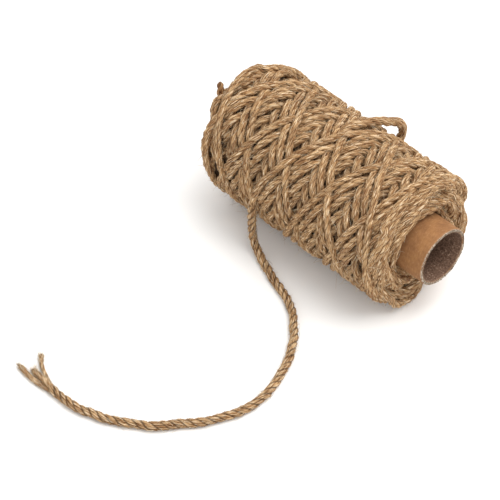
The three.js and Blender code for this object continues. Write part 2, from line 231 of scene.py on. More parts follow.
def core_outline():
    """The tube's section as rows of place along X, radius, cut edge and bore."""
    end = core_high[0]
    inner = core_radius - core_wall
    outer_xs = np.linspace(core_low[0] + core_outer_stop, end - core_outer_stop, core_outer_rows)
    bore_xs = np.linspace(end - core_bore_stop, core_low[0] + core_bore_stop, core_bore_rows)
    face = np.linspace(core_radius - core_rim_round, inner + core_bore_round, 2 * core_rim_layers + 1)
    front = [(end - core_corner[0], core_radius - core_corner[1], core_part_torn, 0.0)]
    for layer, radius in enumerate(face):
        torn = 1.0 if layer < core_torn_layers else core_part_torn
        front.append((end - core_layer_step * (layer % 2), radius, torn, core_part_torn))
    rows = [(x, core_radius, 0.0, 0.0) for x in outer_xs]
    rows += front
    rows += [(x, inner, 0.0, 1.0) for x in bore_xs]
    rows += [(core_low[0] + end - x, radius, cut, bore) for x, radius, cut, bore in reversed(front)]
    return np.array(rows)


def build_core():
    """The core's mesh, with both of its rims ragged from the cut and a touch out of round."""
    rng = np.random.default_rng(5)
    rows = core_outline()
    count = len(rows)
    angles = np.arange(core_sides) * TAU / core_sides
    x, radius, cut, bore = (np.repeat(column[:, None], core_sides, axis=1) for column in rows.T)
    x = x + rng.normal(size=x.shape) * core_ragged_length * cut * np.sign(x)
    oval = core_out_of_round * np.sin(2 * angles + core_oval_turn) * np.abs(x / core_high[0])
    radius = radius + rng.normal(size=x.shape) * core_ragged_radius * cut + oval
    vertices = np.stack([
        x,
        core_axis_y - radius * np.sin(angles),
        core_axis_z + radius * np.cos(angles),
    ], axis=-1)
    row, side = np.meshgrid(np.arange(count), np.arange(core_sides), indexing="ij")
    after, beside = (row + 1) % count, (side + 1) % core_sides
    corners = [(row, side, side), (row, beside, side + 1), (after, beside, side + 1), (after, side, side)]
    faces = np.stack([ring * core_sides + place for ring, place, _ in corners], axis=-1).reshape(-1, 4)
    uv = np.stack([np.stack([x[ring, 0] + core_seam_start, turned / core_sides * core_girth], axis=-1)
                   for ring, _, turned in corners], axis=-2)
    attributes = {"cut_edge": cut.ravel(), "bore": bore.ravel()}
    return new_piece("core_tube", vertices.reshape(-1, 3), faces.tolist(), kraft_board(),
                     attributes, uv.reshape(-1, 2))


core_tube = build_core()
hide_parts("core")


# The winding: one length of twine, laid to and fro by a guide while the core turns, so each trip
# crosses the one below it. Its pull presses the crossings into each other, and the trips that lie
# side by side make the nested chevrons that show all over the roll.
twine_diameter = 3.8
twine_radius = twine_diameter / 2
# Where the guide turns back, for the middle of the twine.
winding_ends = (-58.8, 52.5)
winding_middle = sum(winding_ends) / 2
winding_half = (winding_ends[1] - winding_ends[0]) / 2
# How the guide lays it: turns of the core for one trip there and back, how round its turning points
# are, by how much they fall short of the ends from trip to trip, near the outside (back and front)
# and near the core, how far its trips towards the front are set off, and where the last turn ends.
wound_turns = 100
steps_per_turn = 120
turns_per_trip = 2.7385
turn_roundness = 0.93
turn_spread = 3.0
spread_step = 0.18
shoulder = (1.0, 4.5)
shoulder_turns = 20
inner_recess = 1.5
recess_from = 0.7
end_power = 8
forward_offset = -2.5
forward_fade = 3
last_angle = math.radians(80)
last_x = -22.5
# Strands wander sideways in three waves, each by its rate and start round the roll and its size.
strand_wander = ((1.31, -0.16, 0.3), (0.73, 0.85, 0.35), (2.9, -1.0, 0.15))
wander_fade = 4
# The outside, which swells towards both ends (back and front). The back end is out of round: on its
# long axis it swells more, by a share of its flare, and reaches further back, and less across it.
winding_radius = 33.0
end_flare = (1.8, 0.3)
flare_from = 0.6
flare_over = 0.3
oval_angle = math.radians(31)
oval_flare = 1.0
oval_reach = 2.5
# How the twine settles: how near the core it comes, the share of its thickness that it keeps under
# a crossing strand, in the middle and at the turning points, the width of it that bears, the share
# of its rounding that sinks in, how soon its depth follows that of the strand so far, and its
# tightest bend. The beads are settled some at a time, with a look past both ends of each batch.
core_gap = 0.2
lowest_radius = core_radius + twine_radius + core_gap
kept_thickness = 0.58
kept_at_turn = 0.44
turn_from = 0.75
turn_over = 0.15
bearing_share = 0.65
sunk_share = 0.6
depth_share = 0.2
tightest_bend = 3.0
radius_smoothing = 1
settled_at_once = 20
look_ahead = 9
not_yet_laid = 4
# The map of how high the winding reaches, round the roll and along it.
map_rows = 360
map_columns = 300
map_ends = (-64.0, 58.0)
map_step = (map_ends[1] - map_ends[0]) / (map_columns - 1)

# Three plies make the twine: their distance from its middle, their radius and the lay, which is
# the length of one right-handed turn. They are spun the other way, so that the fibres on the
# outside of the twine run nearly along it.
ply_offset = 0.68
ply_radius = 1.24
twine_lay = 12.5
counter_spin = -0.85
fibre_slope = counter_spin * TAU * (ply_offset + ply_radius) / twine_lay
# The points round a ply start on its inner side and lie closer together on the side that shows.
ply_ring = np.radians([0, 75, 115, 148, 180, 212, 245, 285])
# Bumps in a ply's distance from the middle and in its thickness, each by its share and spacing, and
# how rough its skin is.
offset_bumps = ((0.10, 7.0),)
ply_bumps = ((0.11, 5.0), (0.07, 1.6))
skin_roughness = 0.035
# A bead is drawn where enough of it lies bare, that is near the outside, and at the turning points.
# Its neighbours are drawn with it, so that a strand doesn't break up.
bare_under = 0.4
bare_share = 0.06
turning_from = 0.9
end_face_from = 0.8
drawn_together = 5
depth_smoothing = 3


def roll_points(x, angle, radius):
    """Points from place along X, angle from the top towards -Y, and radius."""
    return np.stack([
        np.broadcast_to(x, np.shape(angle)),
        core_axis_y - radius * np.sin(angle),
        core_axis_z + radius * np.cos(angle),
    ], axis=-1)


def oval_share(angle):
    """How far the back end is out of round at an angle: 1 at its long axis, -1 across it."""
    return np.cos(2 * (angle - oval_angle))


def guide_path():
    """The guide's path as angle, place along X and place across the trip, from core to last turn."""
    full_sway = math.asin(turn_roundness)
    last_sway = math.asin(math.sin((last_x - winding_middle) / winding_half * full_sway) / turn_roundness)
    steps = wound_turns * steps_per_turn
    step = np.arange(steps - 1, -1, -1)
    to_go = step * TAU / steps_per_turn
    phase = 0.5 - last_sway / TAU - to_go / (TAU * turns_per_trip)
    across = np.arcsin(turn_roundness * np.sin(TAU * phase)) / full_sway
    spread = turn_spread * (np.floor(2 * phase + 0.5) * spread_step % 1)
    outermost = np.clip(1 - to_go / (TAU * shoulder_turns), 0, 1)
    rounded = np.where(across > 0, shoulder[1], shoulder[0]) * outermost
    recess = inner_recess * np.clip((step / steps - recess_from) / (1 - recess_from), 0, 1)
    reach = np.where(across < 0, oval_reach * oval_share(last_angle - to_go), 0)
    short = (spread + rounded + recess - reach) * np.abs(across) ** end_power
    inward = 1 - np.abs(across)
    forward = np.maximum(np.cos(TAU * phase), 0) * np.clip(forward_fade * inward, 0, 1)
    wander = sum(share * np.sin(rate * to_go + start) for rate, start, share in strand_wander)
    x = winding_middle + across * (winding_half - short) + 2 * forward_offset * forward
    x = x + wander * np.clip(to_go / math.pi, 0, 1) * np.clip(wander_fade * inward, 0, 1)
    return last_angle - to_go, x, across


def over_bead(angle, x, radius, reach):
    """The map cells within reach of a round bead, its half height there, and which are within."""
    row_step = TAU / map_rows
    first_column = int((x - reach - map_ends[0]) / map_step) + 1
    last_column = int((x + reach - map_ends[0]) / map_step)
    rows = np.arange(math.ceil((angle - reach / radius) / row_step),
                     math.floor((angle + reach / radius) / row_step) + 1)
    columns = np.arange(first_column, last_column + 1)
    around = (rows * row_step - angle)[:, None] * radius
    along = (map_ends[0] + columns * map_step - x)[None, :]
    rest = reach * reach - around * around - along * along
    return np.ix_(rows % map_rows, columns), np.sqrt(np.maximum(rest, 0)), rest > 0


def smoothed(values, spread):
    """A running average with a bell-shaped weight, mirrored at the ends."""
    reach = math.ceil(spread * 4)
    weights = np.exp(-0.5 * (np.arange(-reach, reach + 1) / spread) ** 2)
    return np.convolve(np.pad(values, reach, mode="symmetric"), weights / weights.sum(), mode="valid")


def settle_twine(angles, xs, across):
    """The radius of each bead, from the last turn inwards: each lies under all that came after it."""
    count = len(angles)
    column_x = map_ends[0] + np.arange(map_columns) * map_step - winding_middle
    row_angle = np.arange(map_rows)[:, None] * TAU / map_rows
    back_flare = end_flare[0] * (1 + oval_flare * oval_share(row_angle))
    flare = np.where(column_x > 0, end_flare[1], back_flare)
    near_end = np.clip((np.abs(column_x) / winding_half - flare_from) / flare_over, 0, 1)
    room = winding_radius + flare * near_end ** 2
    bearing = twine_radius * bearing_share
    sunk = (twine_radius - bearing) * kept_thickness * sunk_share
    turning = np.clip((np.abs(across) - turn_from) / turn_over, 0, 1)
    kept = kept_thickness + (kept_at_turn - kept_thickness) * turning
    radius = winding_radius - twine_radius
    travelled = np.concatenate([[0], np.cumsum(np.hypot(np.diff(xs), radius * TAU / steps_per_turn))])
    highest = np.full(count, np.inf)
    radii = np.zeros(count)
    laid_from = count
    for end in range(count, 0, -settled_at_once):
        start = max(0, end - settled_at_once)
        low = max(0, start - look_ahead)
        high = min(count, end + look_ahead)
        for index in range(end - 1, low - 1, -1):
            cells, height, within = over_bead(angles[index], xs[index], radius, bearing)
            limit = np.min(np.where(within, room[cells] - height * kept_thickness, np.inf)) - sunk
            highest[index] = max(limit, lowest_radius)
            radius += depth_share * (highest[index] - radius)
        apart = travelled[low:high, None] - travelled[None, low:high]
        bent = (highest[None, low:high] + apart ** 2 / (2 * tightest_bend)).min(axis=1)
        radii[start:end] = bent[start - low:end - low]
        lay_to = start + not_yet_laid if start > 0 else 0
        for index in range(laid_from - 1, lay_to - 1, -1):
            cells, height, within = over_bead(angles[index], xs[index], radii[index], twine_radius)
            pressed = np.minimum(room[cells], radii[index] - height * kept[index])
            room[cells] = np.where(within, pressed, room[cells])
        laid_from = lay_to
    return smoothed(radii, radius_smoothing)


def showing(angles, xs, across, radii):
    """Which beads are drawn, how deep each lies under the outside, and the outside's radius."""
    outside = np.zeros((map_rows, map_columns))
    places = [over_bead(*bead, twine_radius) for bead in zip(angles, xs, radii)]
    for radius, (cells, height, within) in zip(radii, places):
        outside[cells] = np.where(within, np.maximum(outside[cells], radius + height), outside[cells])
    bare = np.array([
        np.mean((outside[cells] - radius - height)[within] < bare_under)
        for radius, (cells, height, within) in zip(radii, places)
    ])
    depth = np.array([outside[cells].max() for cells, _, _ in places]) - radii - twine_radius
    seen = (bare > bare_share) | (np.abs(across) > turning_from)
    drawn = np.convolve(seen, np.ones(drawn_together), mode="same") > 0
    # Depth drives the jute's painted shade, so beads on the end faces get none and stay light.
    depth = smoothed(np.where(np.abs(across) > end_face_from, 0.0, depth), depth_smoothing)
    return drawn, depth, outside


def unit(vectors):
    """The same directions, each of length 1."""
    return vectors / np.linalg.norm(vectors, axis=-1, keepdims=True)


def evenly(points, step, *others):
    """Points, and values that go with them, again at even steps along the line."""
    travelled = np.concatenate([[0], np.cumsum(np.linalg.norm(np.diff(points, axis=0), axis=1))])
    count = max(int(round(travelled[-1] / step)), 3)
    places = np.linspace(0, travelled[-1], count + 1)
    resampled = [np.stack([np.interp(places, travelled, column) for column in points.T], axis=-1)]
    resampled += [np.interp(places, travelled, values) for values in others]
    return places, *resampled


def uneven(places, bumps, rng):
    """A factor of about 1 along the given places, with random bumps, each by share and spacing."""
    factor = 1
    for share, spacing in bumps:
        knots = np.arange(places[0] - 2 * spacing, places[-1] + 3 * spacing, spacing)
        heights = np.convolve(rng.normal(size=len(knots) + 2), [0.25, 0.5, 0.25], mode="valid")
        factor = factor + share * np.interp(places, knots, heights)
    return factor


def strand_tubes(points, normals, places, start_angle, rng, depth=0.0, swell=1.0):
    """The twine's three plies along a line, as tubes: points, facing, place along and depth."""
    tangents = unit(np.gradient(points, axis=0))
    normals = unit(normals - tangents * np.sum(normals * tangents, axis=1, keepdims=True))
    sides = np.cross(tangents, normals)
    angle = start_angle + TAU * places / twine_lay
    tubes = []
    for ply in range(3):
        turn = (angle + ply * TAU / 3)[:, None]
        outward = np.cos(turn) * normals + np.sin(turn) * sides
        apart = uneven(places, offset_bumps, rng)[:, None]
        centre = points + ply_offset * swell * apart * outward
        thick = ply_radius * swell * uneven(places, ply_bumps, rng)
        tubes.append(ring_tube(centre, outward, thick, places, rng, depth))
    return tubes


def ring_tube(centre, outward, thick, places, rng, depth, ring=ply_ring, slope=fibre_slope):
    """One ply as rings of points round its middle, starting from its inner side."""
    along = unit(np.gradient(centre, axis=0))
    outward = unit(outward - along * np.sum(outward * along, axis=1, keepdims=True))
    beside = np.cross(along, outward)
    rough = 1 + skin_roughness * rng.normal(size=(len(centre), len(ring)))
    reach = (thick[:, None] * rough)[..., None]
    rings = centre[:, None] + reach * (
        -np.cos(ring)[None, :, None] * outward[:, None]
        + np.sin(ring)[None, :, None] * beside[:, None]
    )
    return {
        "rings": rings,
        "ring": ring,
        "facing": np.broadcast_to((1 - np.cos(ring)) / 2, rings.shape[:2]),
        "depth": np.broadcast_to(np.asarray(depth), (len(centre),))[:, None] * np.ones(len(ring)),
        "along": places + 1000 * rng.random(),
        "thick": thick,
        "slope": slope,
    }


def join_tubes(tubes):
    """Vertices, faces, attributes and a UV map of length and girth, from tubes with closed ends."""
    vertices, faces, uvs, start = [], [], [], 0
    for tube in tubes:
        count, sides = tube["rings"].shape[:2]
        vertices.append(tube["rings"].reshape(-1, 3))
        rows, columns = np.meshgrid(np.arange(count - 1), np.arange(sides), indexing="ij")
        here = start + rows * sides + columns
        beside = start + rows * sides + (columns + 1) % sides
        quads = np.stack([here, beside, beside + sides, here + sides], axis=-1).reshape(-1, 4)
        faces += quads[:, ::-1].tolist()
        faces.append(list(range(start, start + sides)))
        faces.append(list(range(start + (count - 1) * sides, start + count * sides))[::-1])
        girth = TAU * float(np.mean(tube["thick"]))
        along = tube["along"][rows]
        after = tube["along"][rows + 1]
        turned = np.append(tube["ring"], TAU) / TAU * girth
        low, high = turned[columns], turned[columns + 1]
        corners = [(after, low), (after, high), (along, high), (along, low)]
        uv = np.stack([np.stack([s, v + s * tube["slope"]], axis=-1) for s, v in corners], axis=-2)
        uvs.append(uv.reshape(-1, 2))
        cap = np.stack([np.full(sides, tube["along"][0]), turned[:-1]], axis=-1)
        uvs += [cap, cap]
        start += count * sides
    attributes = {
        "facing": np.concatenate([tube["facing"].ravel() for tube in tubes]),
        "depth": np.concatenate([tube["depth"].ravel() for tube in tubes]),
    }
    return np.concatenate(vertices), faces, attributes, np.concatenate(uvs)


def retted_jute():
    """Jute: spun from retted bast fibre, so it is dull, hairy and streaked from straw to brown."""
    material, tree = new_material("jute_spun_and_plied")
    length_and_girth = add_node(tree, "UVMap", {"uv_map": "along_and_round"})
    facing = add_node(tree, "Attribute", {"attribute_name": "facing"}).outputs["Fac"]
    depth = add_node(tree, "Attribute", {"attribute_name": "depth"}).outputs["Fac"]
    # A fibre bundle is 0.15 to 0.3 mm wide and shows for about 4 mm before it dives into the ply.
    # Both layers of it are drawn wider, 0.5 and 0.25 mm, because finer ones would not show.
    wide_place = add_node(tree, "Mapping", {"Scale": (0.20, 1.9, 1.0)}, {"Vector": length_and_girth})
    wide = add_node(tree, "TexNoise", {"Scale": 1.0, "Detail": 1.0, "Roughness": 0.5},
                    {"Vector": wide_place})
    fine_place = add_node(tree, "Mapping", {
        "Scale": (0.42, 4.2, 1.0), "Location": (7.0, 3.0, 0.0)}, {"Vector": length_and_girth})
    fine = add_node(tree, "TexNoise", {"Scale": 1.0, "Detail": 2.0, "Roughness": 0.6},
                    {"Vector": fine_place})
    bundles = add_node(tree, "Mix", {"Factor": 0.5}, {"A": wide, "B": fine})
    # Batches of fibre, from straw to brown, change about every 11 mm along a ply.
    patch_place = add_node(tree, "Mapping", {"Scale": (0.09, 0.22, 1.0)}, {"Vector": length_and_girth})
    patches = add_node(tree, "TexNoise", {"Scale": 1.0, "Detail": 2.0, "Roughness": 0.5},
                       {"Vector": patch_place})
    # The ramp runs from brown to straw, the fibre's own colour; its near-white top is a painted highlight
    # where bundles catch the light, and its near-black foot is painted shade between them.
    fibre = add_node(tree, "ValToRGB", {"stops": [
        (0.37, "#462a14"), (0.44, "#916941"), (0.50, "#ba956d"),
        (0.56, "#d8ba90"), (0.63, "#fff0d8")]}, {"Fac": bundles})
    batch = add_node(tree, "ValToRGB", {"stops": [
        (0.30, "#cbbaaa"), (0.50, "#ece5db"), (0.70, "#fff8ec")]}, {"Fac": patches})
    tinted = add_node(tree, "MixRGB", {"blend_type": "MULTIPLY", "Fac": 1.0},
                      {"Color1": fibre, "Color2": batch})
    # Painted shade: the grooves between the plies are darkened on the plies' inner sides, where
    # shade falls, and the strands that lie deep in the winding are darkened by their depth.
    groove_shade = add_node(tree, "MapRange", {
        "From Min": 0.46, "From Max": 0.72, "To Min": 0.75, "To Max": 0.0}, {"Value": facing})
    groove_shaded = add_node(tree, "MixRGB", {"Color2": "#38210e"}, {"Fac": groove_shade, "Color1": tinted})
    # Painted shade for depth: a strand is drawn darker the deeper it lies under the outside.
    sunk = add_node(tree, "MapRange", {
        "From Min": 1.0, "From Max": 4.5, "To Min": 0.0, "To Max": 0.85}, {"Value": depth})
    shaded = add_node(tree, "MixRGB", {"Color2": "#28180d"}, {"Fac": sunk, "Color1": groove_shaded})
    # The inner end is drawn browner and darker than the rest, where it is marked.
    oiled = add_node(tree, "Attribute", {"attribute_name": "oiled"}).outputs["Fac"]
    with_darker_end = add_node(tree, "MixRGB", {"blend_type": "MULTIPLY", "Color2": "#ccb69e"},
                       {"Fac": oiled, "Color1": shaded})
    roughness = add_node(tree, "MapRange", {"To Min": 0.9, "To Max": 0.62}, {"Value": bundles})
    finish_material(tree, with_darker_end, roughness, bundles, 0.0008, {"Specular IOR Level": 0.3, "IOR": 1.5})
    return material


def twine_piece(name, tubes, material):
    """A piece of twine from its plies, with none of it below the surface."""
    vertices, faces, attributes, uvs = join_tubes(tubes)
    vertices[:, 2] = np.maximum(vertices[:, 2], 0.0)
    return new_piece(name, vertices, faces, material, attributes, uvs)


jute = retted_jute()
twine_rng = np.random.default_rng(11)
wound_angle, wound_x, wound_across = guide_path()
wound_radius = settle_twine(wound_angle, wound_x, wound_across)
wound_seen, wound_depth, outside_map = showing(wound_angle, wound_x, wound_across, wound_radius)


def runs_of(flags):
    """Start and end of each stretch of True."""
    edges = np.flatnonzero(np.diff(np.concatenate([[0], flags.astype(int), [0]])))
    return list(zip(edges[::2], edges[1::2]))


def radial(points):
    """Directions away from the roll's axis."""
    away = points - np.array([0.0, core_axis_y, core_axis_z])
    away[:, 0] = 0.0
    return unit(away)


# The last turn leaves the others on the near side and goes on to where the loose end starts.
leaving_point = np.array([-23.3, -36.35, 29.4])
leaving_away = leaving_point - np.array([0.0, core_axis_y, core_axis_z])
leaving_angle = math.atan2(-leaving_away[1], leaving_away[2])
leaving_radius = math.hypot(leaving_away[1], leaving_away[2])
lifted_beads = 4
leaving_steps = 12
last_wound = len(wound_x) - lifted_beads
leaving_share = np.linspace(0, 1, leaving_steps + 1)[1:]
from_x, from_angle, from_radius = (
    values[last_wound - 1] for values in (wound_x, wound_angle, wound_radius))
last_leg = roll_points(
    from_x + (leaving_point[0] - from_x) * np.sin(leaving_share * math.pi / 2),
    from_angle + (leaving_angle - from_angle) * leaving_share,
    from_radius + (leaving_radius - from_radius) * leaving_share ** 1.5,
)

# The drawn stretches of twine. Each starts at a twist that grows with the beads laid before it.
# They make five pieces, so that none of them has too many faces.
twine_step = 1.0
twist_advance = 1.3
pieces_of_winding = 5
wound_tubes = []
wound_seen[last_wound:] = False
for run_start, run_end in runs_of(wound_seen):
    run = slice(run_start, run_end)
    line = roll_points(wound_x[run], wound_angle[run], wound_radius[run])
    deep = wound_depth[run]
    if run_end == last_wound:
        line = np.concatenate([line, last_leg])
        deep = np.concatenate([deep, np.zeros(leaving_steps)])
    run_places, line, deep = evenly(line, twine_step, deep)
    run_angle = TAU * run_start * twist_advance / twine_lay
    wound_tubes += strand_tubes(line, radial(line), run_places, run_angle, twine_rng, deep)
last_lay_angle = run_angle + TAU * run_places[-1] / twine_lay

rings_so_far = np.cumsum([len(tube["rings"]) for tube in wound_tubes])
piece_of_tube = (rings_so_far - 1) * pieces_of_winding // rings_so_far[-1]
for part in range(pieces_of_winding):
    chosen = [tube for tube, group in zip(wound_tubes, piece_of_tube) if group == part]
    wound_piece = twine_piece(f"wound_twine_{part + 1}", chosen, jute)
    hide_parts("winding")


# The layers below: the turns that later ones hide, down to the core. Only a lumpy body of
# them shows, deep in the gaps between the outer strands, and it is painted dark as the shade there.
hidden_shade = 4.5
hidden_ends = (-55.5, 45.5)
# How far it lies under the strands' average and under the pits between them, at most how deep, and
# from where along X the pits count. Then how far its outer and inner sides keep off the core, and
# how far it keeps off the surface.
hidden_under = 2.4
hidden_below_pits = 0.7
hidden_deepest = 6.0
hidden_pits_from = -51.5
hidden_over_core = 0.4
hidden_core_gap = 0.2
hidden_lowest = 0.5
# Each face spans this many rows and columns of the map.
hidden_rows = 5
hidden_columns = 6


def layers_below():
    """A closed body a little inside the outer strands, and round the core."""
    filled = np.maximum(outside_map, core_radius + hidden_under + hidden_over_core)
    ring = np.concatenate([filled[-hidden_rows:], filled, filled[:hidden_rows]])
    averaged = np.apply_along_axis(smoothed, 0, ring, hidden_rows / 2)[hidden_rows:-hidden_rows]
    averaged = np.apply_along_axis(smoothed, 1, averaged, hidden_columns / 2)
    column_x = map_ends[0] + np.arange(map_columns) * map_step
    pits = filled
    for axis, cells in enumerate((hidden_rows, hidden_columns)):
        pits = np.min([np.roll(pits, shift, axis=axis) for shift in range(2 - cells, cells - 1)], axis=0)
    under = averaged - hidden_under
    deepest = np.maximum(averaged - hidden_deepest, core_radius + hidden_over_core)
    under_pits = np.maximum(np.minimum(under, pits - hidden_below_pits), deepest)
    under = np.where(column_x > hidden_pits_from, under_pits, under)
    within = (column_x > hidden_ends[0]) & (column_x < hidden_ends[1])
    xs = column_x[within][::hidden_columns]
    radii = under[::hidden_rows, within][:, ::hidden_columns]
    inner = np.full((len(radii), 1), core_radius + hidden_core_gap)
    radii = np.concatenate([inner, radii, inner], axis=1)
    xs = np.concatenate([xs[:1], xs, xs[-1:]])
    angles = np.arange(len(radii))[:, None] * hidden_rows * TAU / map_rows
    vertices = roll_points(xs, np.broadcast_to(angles, radii.shape), radii)
    row, column = np.meshgrid(np.arange(len(radii)), np.arange(len(xs)), indexing="ij")
    below, beside = (row + 1) % len(radii), (column + 1) % len(xs)
    corners = ((row, column), (below, column), (below, beside), (row, beside))
    faces = np.stack([ring * len(xs) + place for ring, place in corners], axis=-1).reshape(-1, 4)
    uv = vertices.reshape(-1, 3)[faces.ravel()][:, [1, 0]]
    # The body is given a depth that makes the jute's painted shade darken all of it, and no groove shade.
    attributes = {"facing": np.ones(radii.size), "depth": np.full(radii.size, hidden_shade)}
    vertices[..., 2] = np.maximum(vertices[..., 2], hidden_lowest)
    return new_piece("layers_below", vertices.reshape(-1, 3), faces.tolist(), jute,
                     attributes, uv)


hidden_piece = layers_below()
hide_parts("winding")


# Stray fibres: ends of bast fibre that the spinning left out, all over the outer strands. They
# lie mostly along the twine and stand off it a little. Real ones are about 0.06 mm thick, and are
# drawn twice as thick, because finer ones would not show.
stray_root = 0.065
stray_tip = 0.03
stray_steps = 5
# They start on the outer sides of strands near the outside, a little under the skin. They bend
# sideways by about this share of their length, and arch up by this many millimetres at most.
stray_facing = 0.7
stray_depth = 2.5
stray_sunk = 0.05
stray_bend = 0.35
stray_arch = 0.5


def bast_fibre():
    """Single bast fibres: finer than the yarn, from cream to brown."""
    material, tree = new_material("jute_stray_fibre")
    tone = add_node(tree, "Attribute", {"attribute_name": "tone"}).outputs["Fac"]
    place = add_node(tree, "TexCoord").outputs["Object"]
    # Dust and nodes along a fibre change its colour every 1 mm or so.
    nodes = add_node(tree, "TexNoise", {"Scale": 900.0, "Detail": 1.0}, {"Vector": place})
    varied = add_node(tree, "Math", {"operation": "MULTIPLY_ADD", 1: 0.3}, {0: nodes, 2: tone})
    colour = add_node(tree, "ValToRGB", {"stops": [
        (0.15, "#6b4a2d"), (0.45, "#a88860"), (0.80, "#d8c09a"),
        (1.0, "#f0e2c6")]}, {"Fac": varied})
    roughness = add_node(tree, "MapRange", {"To Min": 0.65, "To Max": 0.85}, {"Value": nodes})
    finish_material(tree, colour, roughness, nodes, 0.00002, {"Specular IOR Level": 0.2, "IOR": 1.5})
    return material


def fibre_roots(tubes, count, rng):
    """Places on the outer sides of the plies, with the ways along and away from them."""
    points, ways, normals = [], [], []
    for tube in tubes:
        rings = tube["rings"]
        centre = rings.mean(axis=1, keepdims=True)
        along = np.broadcast_to(unit(np.gradient(centre, axis=0)), rings.shape)
        outer = (tube["facing"] > stray_facing) & (tube["depth"] < stray_depth)
        points.append(rings[outer])
        ways.append(along[outer])
        normals.append(unit(rings - centre)[outer])
    chosen = rng.integers(0, sum(map(len, points)), count)
    return [np.concatenate(values)[chosen] for values in (points, ways, normals)]


def fibre_sizes(count, lengths, lifts, rng):
    """Random lengths, by their least, scatter and most, and lifts, by their average and most."""
    shortest, scatter, longest = lengths
    lengths = np.minimum(shortest + rng.gamma(2.0, scatter, count), longest)
    return lengths, np.minimum(rng.exponential(lifts[0], count), lifts[1])


def fibre_piece(name, roots, lengths, lifts, spread, rng, thick=1.0):
    """Thin tapered fibres with three sides: each lifts off, bends sideways and sinks back."""
    points, ways, normals = roots
    count = len(points)
    sides = np.cross(ways, normals)
    swing = rng.normal(size=(count, 1)) * spread
    ahead = np.cos(swing) * ways * rng.choice([-1.0, 1.0], size=(count, 1)) + np.sin(swing) * sides
    beside = np.cross(ahead, normals)
    share = np.linspace(0, 1, stray_steps)[None, :, None]
    bend = (rng.normal(size=(count, 1)) * stray_bend)[:, None]
    arch = (rng.random((count, 1)) * stray_arch)[:, None]
    length, lift = lengths[:, None, None], lifts[:, None, None]
    line = points[:, None] + ahead[:, None] * length * share
    line = line + beside[:, None] * bend * length * share ** 2
    line = line + normals[:, None] * (lift * share ** 1.5 + 4 * arch * share * (1 - share) - stray_sunk)
    width = thick * (stray_root + (stray_tip - stray_root) * share)
    turns = (np.arange(3) * TAU / 3)[None, None, :, None]
    rings = line[:, :, None] + width[:, :, None] * (
        np.cos(turns) * normals[:, None, None] + np.sin(turns) * beside[:, None, None])
    vertices = rings.reshape(-1, 3)
    vertices[:, 2] = np.maximum(vertices[:, 2], 0.0)
    start = (np.arange(count) * stray_steps * 3)[:, None, None]
    step, corner = np.arange(stray_steps - 1)[None, :, None] * 3, np.arange(3)[None, None, :]
    after = (corner + 1) % 3
    quads = np.stack([start + step + corner, start + step + 3 + corner, start + step + 3 + after,
                      start + step + after], axis=-1).reshape(-1, 4).tolist()
    base = (start[:, 0] + np.arange(3)).tolist()
    tip = (start[:, 0] + (stray_steps - 1) * 3 + np.arange(3)[::-1]).tolist()
    tone = np.repeat(rng.random(count), stray_steps * 3)
    return new_piece(name, vertices, quads + base + tip, stray, {"tone": tone})


stray = bast_fibre()
fibre_rng = np.random.default_rng(23)
wound_strays = 7600
wound_stray_lengths = (2.0, 1.3, 8.0)
wound_stray_lifts = (0.45, 2.5)
wound_stray_swing = 0.35
wound_roots = fibre_roots(wound_tubes, wound_strays, fibre_rng)
wound_sizes = fibre_sizes(wound_strays, wound_stray_lengths, wound_stray_lifts, fibre_rng)
fibre_piece("wound_stray_fibres", wound_roots, *wound_sizes, wound_stray_swing, fibre_rng)


# The slack turn: one turn near the last that was pulled loose and stands off the roll's top in a
# low arch, and dips back under its neighbours at both ends. It is thicker than a wound strand,
# because nothing presses it. Its middle runs by degrees from the top, place along X and radius.
slack_swell = 1.16
slack_twist = 0.4
slack_turn = (
    (2, -3.0, 29.0), (-8, -1.8, 33.0), (-15, -0.4, 34.1), (-25, 0.8, 34.7),
    (-35, 2.7, 36.2), (-44, 4.4, 37.6), (-51, 5.8, 39.2), (-57, 6.6, 39.6),
    (-63, 6.0, 38.7), (-68, 5.3, 37.4), (-75, 4.5, 35.3), (-84, 3.4, 31.0),
)


def between(low, high, t, before, after):
    """The points at t on the way from before, at low, to after, at high."""
    return (high - t) / (high - low) * before + (t - low) / (high - low) * after


def smooth_line(points, samples=12):
    """A smooth curve through the points, with the given samples between each two."""
    points = np.asarray(points, dtype=float)
    ends = np.concatenate([[2 * points[0] - points[1]], points, [2 * points[-1] - points[-2]]])
    share = np.linspace(0, 1, samples, endpoint=False)[:, None]
    line = []
    for corners in zip(ends[:-3], ends[1:-2], ends[2:-1], ends[3:]):
        gaps = [np.linalg.norm(after - before) for before, after in zip(corners, corners[1:])]
        k0, k1, k2, k3 = np.cumsum(np.sqrt([0.0, *gaps]))
        t = k1 + (k2 - k1) * share
        first = between(k0, k1, t, *corners[:2])
        second = between(k1, k2, t, *corners[1:3])
        third = between(k2, k3, t, *corners[2:])
        earlier = between(k0, k2, t, first, second)
        later = between(k1, k3, t, second, third)
        line.append(between(k1, k2, t, earlier, later))
    return np.concatenate(line + [points[-1:]])


def rows_on_roll(rows):
    """Points from rows of degrees from the top towards -Y, place along X and radius."""
    degrees, x, radius = np.array(rows, dtype=float).T
    return roll_points(x, np.radians(degrees), radius)


slack_places, slack_line = evenly(smooth_line(rows_on_roll(slack_turn)), twine_step)
slack_tubes = strand_tubes(slack_line, radial(slack_line), slack_places, slack_twist, twine_rng,
                           swell=slack_swell)
twine_piece("slack_turn", slack_tubes, jute)
